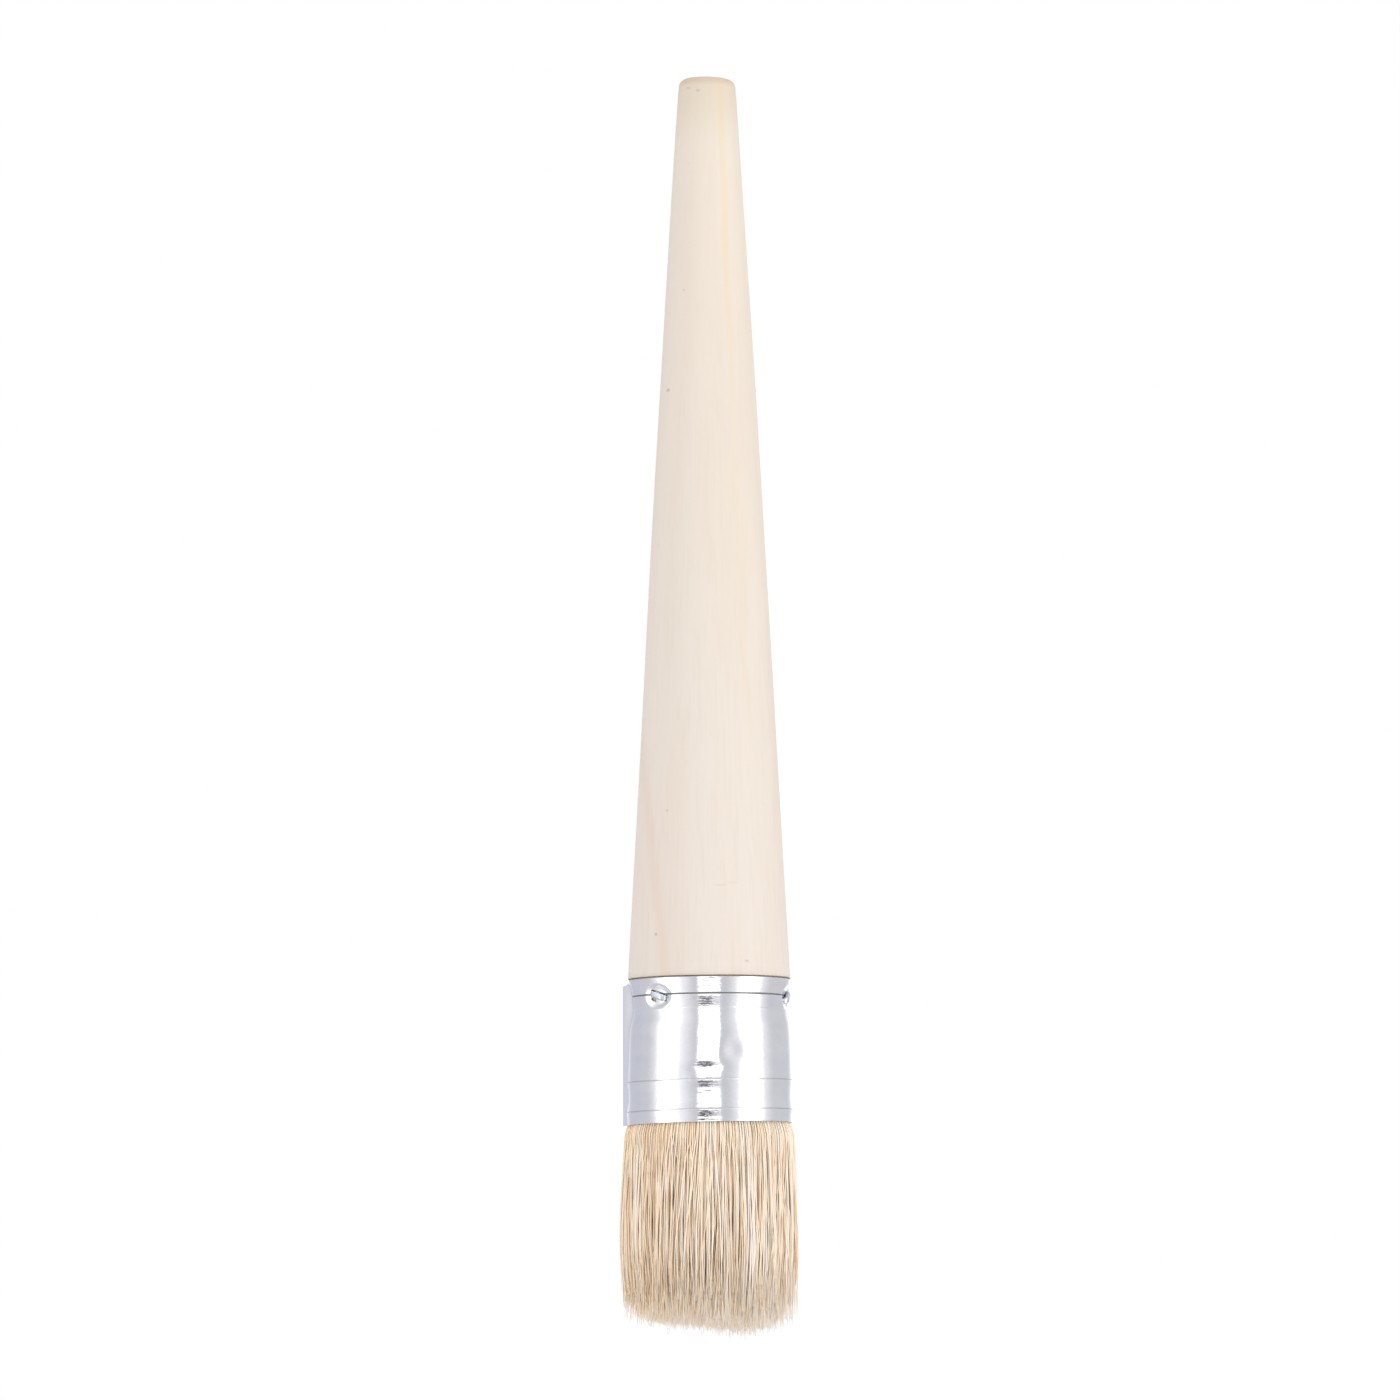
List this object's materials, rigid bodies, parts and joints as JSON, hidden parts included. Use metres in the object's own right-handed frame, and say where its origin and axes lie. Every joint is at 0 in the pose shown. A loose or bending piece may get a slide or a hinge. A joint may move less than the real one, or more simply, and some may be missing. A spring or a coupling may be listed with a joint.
{
  "type": "pastry brush",
  "caption": "Round pastry brush: a tapered turned wooden handle, a seamed tinplate ferrule held on by wire staples, and a dense round head of blonde natural bristles.",
  "frame": {"origin": "on the brush's axis, where a hand holds the handle, 60 mm above the ferrule's rim", "axes": "+Z along the brush's axis towards the butt of the handle, bristles down; -Y is the front, and the ferrule's lock seam runs down its -X side"},
  "size_m": [0.032, 0.032, 0.2231],
  "materials": {
    "wood": "satin",
    "tinplate": "polished",
    "staple_wire": "satin",
    "setting_resin": "gloss",
    "bristle": "satin"
  },
  "bodies": {
    "handle_body": {"handle": "wood", "ferrule": "tinplate", "staple_front": "staple_wire", "staple_right": "staple_wire", "staple_back": "staple_wire", "resin_setting": "setting_resin"},
    "bristle_body": {"bristles_core_01": "bristle", "bristles_middle_01": "bristle", "bristles_middle_02": "bristle", "bristles_middle_03": "bristle", "bristles_middle_04": "bristle", "bristles_middle_05": "bristle", "bristles_middle_06": "bristle", "bristles_outer_01": "bristle", "bristles_outer_02": "bristle", "bristles_outer_03": "bristle", "bristles_outer_04": "bristle", "bristles_outer_05": "bristle", "bristles_outer_06": "bristle", "bristles_outer_07": "bristle", "bristles_outer_08": "bristle", "bristles_outer_09": "bristle", "bristles_outer_10": "bristle", "bristles_outer_11": "bristle", "bristles_outer_12": "bristle"}
  },
  "joints": [
    {"name": "bristle_flex", "type": "hinge", "parent": "handle_body", "child": "bristle_body", "pos_m": [0, 0, -0.0854], "axis": [0, 1, 0], "range_deg": [-25, 25], "stiffness_Nm_per_rad": 0.12, "deforming": ["bristles_core_01", "bristles_middle_01", "bristles_middle_02", "bristles_middle_03", "bristles_middle_04", "bristles_middle_05", "bristles_middle_06", "bristles_outer_01", "bristles_outer_02", "bristles_outer_03", "bristles_outer_04", "bristles_outer_05", "bristles_outer_06", "bristles_outer_07", "bristles_outer_08", "bristles_outer_09", "bristles_outer_10", "bristles_outer_11", "bristles_outer_12"]}
  ]
}
